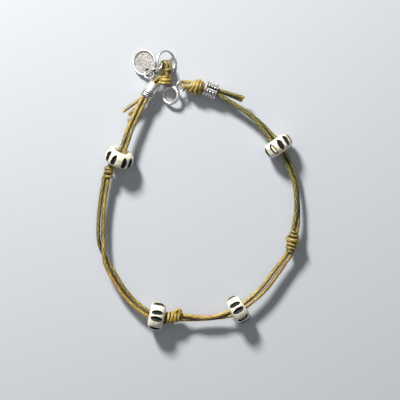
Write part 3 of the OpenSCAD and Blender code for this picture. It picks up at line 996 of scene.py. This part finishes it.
def make_left_end_loop(finish):
    """Two cords side by side round the closing ring, a turn over them, and a knot."""
    shape = Shape()
    place = posed(CLOSING_POSE)
    loop = place.moved(*LEFT_LOOP_SHIFT)
    for x in (-PAIR_GAP, PAIR_GAP):
        path = loop_path(radius=1.0, leg=3.6) + (x, 0, 0)
        add_cord(shape, loop(path), LEFT_LOOP_CORD, place.columns[:, 0], tone=0.2)
    over = place.moved(*LEFT_OVER_SHIFT).turned(x=90, z=14)
    add_wraps(shape, over, TURN_OVER, tone=0.35)
    knot = place.moved(*LEFT_KNOT_SHIFT).turned(x=90)
    add_wraps(shape, knot, TURNS_LEFT_END, tone=0.6)
    add_core(shape, knot.moved(0, 0, 0.15), radius=1.12, length=1.9, tone=0.4)
    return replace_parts(shape.piece("left_end_loop", finish), "left_end_loop")


def make_right_end_loop(finish):
    """A barrel of turns that lean less towards the crimp, and a tilted loop."""
    shape = Shape()
    place = Place(RIGHT_KNOT_AT)
    knot = place.turned(z=RIGHT_KNOT_TURN).turned(y=90)
    add_wraps(shape, knot, TURNS_RIGHT_END, tone=0.66)
    add_core(shape, knot, radius=1.42, length=2.9, tone=0.5)
    bend = place.moved(*RIGHT_LOOP_SHIFT).turned(x=RIGHT_LOOP_TILT, z=RIGHT_LOOP_TURN)
    path = loop_path(radius=1.15, leg=1.7)[:, [1, 2, 0]] * (-1, 1, 1)
    add_cord(shape, bend(path), RIGHT_LOOP_CORD, bend.columns[:, 2], tone=0.7)
    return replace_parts(shape.piece("right_end_loop", finish), "right_end_loop")


def make_tail(name, crimp, start, tip, tone, finish):
    """A straight cut cord end from a crimp to its tip, where the cut shows pale."""
    shape = Shape()
    start = on_stretch(crimp)(start)
    t = np.linspace(0, 1, 30)[:, None]
    path = start + (np.array(tip) - start) * t
    shades = tone + (TIP_TONE - tone) * ease((t[:, 0] - 0.9) * 10)
    add_cord(shape, path, TAIL_D / 2, (0, 0, 1), shades)
    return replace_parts(shape.piece(name, finish), name)


# Silver


def crimp_section(half, steps, count):
    """Places along a crimp, COUNT up its outside, then down its bore, and which are outside."""
    z = np.concatenate([np.linspace(-half, half, count), np.linspace(half, -half, 12)[1:-1]])
    z = np.broadcast_to(z[None], (steps, len(z)))
    return z, np.arange(z.shape[1])[None] < count


def edge_drop(z, half, depth):
    """How much lower a wall is where its edge is rounded: DEPTH at the very edge."""
    return depth * (1 - ease((half - np.abs(z)) / EDGE_ROUND))


def make_left_crimp(finish):
    """A sleeve whose wall follows r(z, a): a smooth collar, then three slanting ribs."""
    half = SLEEVE_LEN / 2
    steps = 128
    angle = np.arange(steps)[:, None] / steps * TURN
    z, outside = crimp_section(half, steps, 90)
    across, upward = np.tan(np.radians(RIB_SLANTS))
    slant = across * np.sin(angle) - upward * np.cos(angle)
    collar = ease((COLLAR_TO - z) / 0.12)
    wall = SLEEVE_R - COLLAR_RISE + COLLAR_RISE * collar
    groove = np.zeros(z.shape)
    for at in RIBS:
        off = np.abs(z - at - slant * SLEEVE_R) / RIB_R
        rib = SLEEVE_R - RIB_SUNK + RIB_RISE * np.sqrt(np.maximum(1 - off**2, 0))
        wall = np.where(off < 1, np.maximum(wall, rib), wall)
        groove = groove + np.exp(-((off - 1.15) / 0.4) ** 2)
    hammered = 0.015 * np.sin(5 * angle + 1) * np.cos(2 * z)
    radius = np.where(outside, wall - edge_drop(z, half, 0.07) + hammered, SLEEVE_BORE)
    points = round_points(radius, angle, z)
    shape = Shape()
    stain = np.where(outside, np.clip(groove * (1 - collar), 0, 1), 0.8)
    shape.grid(on_stretch(AT_LEFT_CRIMP).moved(*SLEEVE_SHIFT)(points), round_u=True, stain=stain)
    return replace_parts(shape.piece("left_crimp", finish), "left_crimp")


def make_right_crimp(finish):
    """A split barrel r(z, a) with a band at each end and rows of half-round dots."""
    half = BARREL_LEN / 2
    steps = 220
    slit = BARREL_SLIT / 2 / BARREL_R
    start = math.radians(BARREL_SLIT_AT)
    angle = np.linspace(start + slit, start + TURN - slit, steps)[:, None]
    z, outside = crimp_section(half, steps, 100)
    band = ease((np.abs(z) - half + BARREL_BAND + BAND_BLEND / 2) / BAND_BLEND)
    wall = BARREL_R + BAND_RISE * band - edge_drop(z, half, 0.08)
    recess = np.exp(-((half - BARREL_BAND - 0.06 - np.abs(z)) / 0.07) ** 2)
    for row in DOT_ROWS:
        for k in range(DOTS_ROUND):
            turn = (angle - TURN * (k + 0.5) / DOTS_ROUND + math.pi) % TURN - math.pi
            off = np.hypot(turn * BARREL_R, z - row)
            dome = BARREL_R - DOT_SUNK + np.sqrt(np.maximum(DOT_R**2 - off**2, 0))
            wall = np.where(off < DOT_R, np.maximum(wall, dome), wall)
            recess = np.maximum(recess, np.exp(-((off - DOT_R - 0.06) / 0.11) ** 2))
    radius = np.where(outside, wall, BARREL_BORE)
    points = round_points(radius, angle, z)
    shape = Shape()
    shape.grid(on_stretch(AT_RIGHT_CRIMP).moved(*BARREL_SHIFT)(points), cap=True,
        stain=np.where(outside, recess, 0.8))
    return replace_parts(shape.piece("right_crimp", finish), "right_crimp")


def make_ring(name, pose, radius, wire, finish, seam, steps=120, sides=20):
    """A closed ring of wire at a pose, with its seam at an angle in degrees."""
    shape = Shape()
    add_wire_ring(shape, posed(pose), radius, wire, steps, sides, seam)
    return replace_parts(shape.piece(name, finish), name)


def make_rings(finish):
    """The closing ring, the tag's three rings in turn and the clasp's jump ring."""
    make_ring("closing_ring", CLOSING_POSE, CLOSING_R, CLOSING_WIRE, finish, seam=60,
        steps=220, sides=24)
    for k, (name, pose) in enumerate(TAG_RING_POSES.items()):
        make_ring(name, pose, LINK_R, LINK_WIRE, finish, seam=40 + 100 * k)
    make_ring("clasp_link", JUMP_POSE, JUMP_R, JUMP_WIRE, finish, seam=200)


def make_tag(finish):
    """A disc from its hole's circle to its rim's, (1 - w) hole + w rim, then a round rim.

    The section runs over the top face, round the raised rim, back under the lower
    face and up the wall of the hole.
    """
    rim_at = (TAG_D - TAG_RIM) / 2
    rim_r = TAG_RIM / 2
    t = TAG_T / 2
    foot = math.asin(t / rim_r)
    inner = rim_at - rim_r * math.cos(foot)
    rise = np.linspace(math.pi - foot, foot - math.pi, 40)
    even = np.linspace(0, 1, 40)
    weights = (ease(even) + even) / 2
    face = np.stack([weights, 0 * weights, t + 0 * weights], 1)
    face[0, 2] -= TAG_EDGE
    rim = np.stack([0 * rise + 1, rim_at - inner + rim_r * np.cos(rise), rim_r * np.sin(rise)], 1)
    wall = np.linspace((0, 0, TAG_EDGE - t), (0, 0, t - TAG_EDGE), 5)[1:-1]
    section = np.concatenate([face, rim[1:-1], face[::-1] * (1, 1, -1), wall])
    steps = 200
    angle = (np.arange(steps) / steps * TURN)[:, None]
    w, out, z = (section[None, :, k] for k in range(3))
    reach = (1 - w) * TAG_HOLE / 2 + w * inner + out
    x = (1 - w) * TAG_HOLE_AT[0] + reach * np.cos(angle)
    y = (1 - w) * TAG_HOLE_AT[1] + reach * np.sin(angle)
    dish = 0.012 * np.sin(1.3 * x + 0.5) * np.cos(1.1 * y)
    z = z + np.where(w < 1, dish, 0)
    stain = np.where((w > 0.05) & (w < 1), 0.6, 0) + np.exp(-((w - 0.97) / 0.03) ** 2) * 0.4
    shape = Shape()
    shape.grid(posed(TAG_POSE)(np.stack([x, y, z], -1)), round_u=True, stain=stain)
    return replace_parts(shape.piece("tag", finish), "tag")


def add_bent_tube(shape, place, start, end, slot=0.0, lips=(True, True)):
    """A stretch of the spring ring: its wall's closed section carried round the ring.

    With a slot it is hollow. A lip is a collar at an end, whose very edge is rounded.
    """
    steps = max(int((end - start) * 0.55), 8)
    turn = np.radians(np.linspace(start, end, steps))
    outer = CLASP_TUBE / 2
    inner = CLASP_BORE / 2
    gap = math.asin(slot / 2 / outer) if slot else 0.0
    round_to = np.linspace(gap, TURN - gap, 48, endpoint=bool(slot))
    radial = outer * np.cos(round_to)
    upward = outer * np.sin(round_to)
    if slot:
        radial = np.concatenate([radial, inner * np.cos(round_to[::-1])])
        upward = np.concatenate([upward, inner * np.sin(round_to[::-1])])
    swell = np.ones((steps, 1))
    stain = np.zeros((steps, 1))
    for lip, away in zip(lips, (turn - turn[0], turn[-1] - turn)):
        if lip:
            off = away[:, None] * CLASP_R
            swell = swell * (1 + 0.07 * np.exp(-((off - 0.22) / 0.14) ** 2))
            swell = swell * np.sqrt(np.clip(0.55 + off / 0.12 * 0.45, 0, 1))
            stain = stain + np.exp(-((off - 0.42) / 0.06) ** 2)
    turn = turn[:, None]
    reach = CLASP_R + radial * swell
    shape.grid(place(round_points(reach, turn, upward * swell)), cap=True, stain=stain)


def make_clasp_body(finish):
    """Three stretches of tube with a mouth between the first and the last, and the eye."""
    shape = Shape()
    place = posed(CLASP_POSE)
    add_bent_tube(shape, place, MOUTH_TO, BORE_FROM + 360, lips=(True, False))
    add_bent_tube(shape, place, BORE_FROM, SLOT_TO, slot=SLOT_W, lips=(False, False))
    add_bent_tube(shape, place, SLOT_TO, MOUTH_FROM, lips=(False, True))
    eye = place.turned(z=EYE_AT).moved(CLASP_R + EYE_OUT, 0, 0).turned(x=-EYE_TURN)
    add_wire_ring(shape, eye, EYE_R, EYE_WIRE, steps=96, sides=20)
    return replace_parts(shape.piece("clasp_body", finish), "clasp_body")


def make_clasp_lever(finish):
    """The spring wire as an arc, and its thumb post: a thin stem with a round knob."""
    shape = Shape()
    place = posed(CLASP_POSE)
    path = place(ring_path(CLASP_R, 90, WIRE_FROM, WIRE_TO))
    shape.grid(swept(path, SPRING_WIRE / 2, place.columns[:, 2], 20), cap=True)
    post = place.turned(z=POST_AT).moved(CLASP_R, 0, 0).turned(y=90)
    rise = np.radians(np.linspace(-68, 88, 24))
    radius = np.concatenate([[STEM_R, STEM_R], KNOB_R * np.cos(rise)])
    height = np.concatenate([[0, POST_OUT - STEM_SHORT], POST_OUT + KNOB_R * np.sin(rise)])
    shape.grid(post(turned_points(radius, height, 32)), cap=True)
    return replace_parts(shape.piece("clasp_lever", finish, body="lever"), "clasp_lever")


# Stage


def make_camera():
    """Straight above, wide enough for the photograph's frame at the cord's level."""
    data = bpy.data.cameras.new("photo_camera")
    data.lens = LENS
    data.sensor_width = SENSOR
    height = VIEW_WIDTH * LENS / SENSOR
    made = bpy.data.objects.new("photo_camera", data)
    made.location = [v * MM for v in (*VIEW_CENTRE, VIEW_LEVEL + height)]
    data.clip_start = 0.01
    data.clip_end = 10
    bpy.context.scene.collection.objects.link(made)
    bpy.context.scene.camera = made


def make_floor():
    """A wide level sheet with a matt pale finish."""
    reach = FLOOR_REACH * MM
    corners = [(-reach, -reach, 0), (reach, -reach, 0), (reach, reach, 0), (-reach, reach, 0)]
    finish = Finish("pale_floor", None)
    pale = finish.mix(colour(200, 204, 210), colour(192, 196, 202), finish.noise(0.5))
    finish.set(Base_Color=pale, Roughness=0.9)
    mesh = bpy.data.meshes.new("floor")
    mesh.from_pydata(corners, [], [(0, 1, 2, 3)])
    mesh.materials.append(finish.material)
    floor = bpy.data.objects.new("floor", mesh)
    bpy.context.scene.collection.objects.link(floor)


def make_light(name, towards, distance, size, power, tint):
    """A square lamp in a direction from the bracelet, facing it."""
    data = bpy.data.lights.new(name, "AREA")
    data.size = size * MM
    data.energy = power
    data.color = tint
    lamp = bpy.data.objects.new(name, data)
    towards = unit(towards)
    lamp.location = towards * distance * MM
    lamp.rotation_euler = Vector(towards.tolist()).to_track_quat("Z", "Y").to_euler()
    bpy.context.scene.collection.objects.link(lamp)


def make_studio():
    """The floor, the lamps, a faint sky and plain colours as a screen shows them."""
    make_floor()
    for name, lamp in LAMPS.items():
        make_light(name, *lamp)
    world = bpy.data.worlds.new("studio")
    world.use_nodes = True
    background = world.node_tree.nodes["Background"]
    background.inputs["Color"].default_value = WORLD_COLOUR
    background.inputs["Strength"].default_value = WORLD_STRENGTH
    bpy.context.scene.world = world
    bpy.context.scene.view_settings.view_transform = "Standard"


make_camera()
waxed_green = cord_finish("waxed_cord_green", "waxed_cord_green")
waxed_gold = cord_finish("waxed_cord_gold", "waxed_cord_gold")
bone = bone_finish()
silver = silver_finish("silver", scratch=0.12, tarnish=colour(56, 51, 47))
silver_face = silver_finish("silver_scratched", scratch=0.25, tarnish=colour(100, 88, 80))

make_strand("cord_strand_a", -1, waxed_green)
make_strand("cord_strand_b", 1, waxed_gold)
for seed, (bead, (row, dashes, worn)) in enumerate(DASHES.items()):
    make_bead(bead, row, dashes, worn, bone, seed + 1.0)
make_knot_left(waxed_gold)
make_knot_bottom(waxed_gold)
make_knot_right(waxed_gold)
make_left_end_loop(waxed_gold)
make_right_end_loop(waxed_gold)
for tail, (crimp, start, tip, tone) in TAILS.items():
    make_tail(tail, crimp, start, tip, tone, waxed_gold)
make_left_crimp(silver)
make_right_crimp(silver)
make_rings(silver)
make_tag(silver_face)
make_clasp_body(silver)
make_clasp_lever(silver)
make_studio()
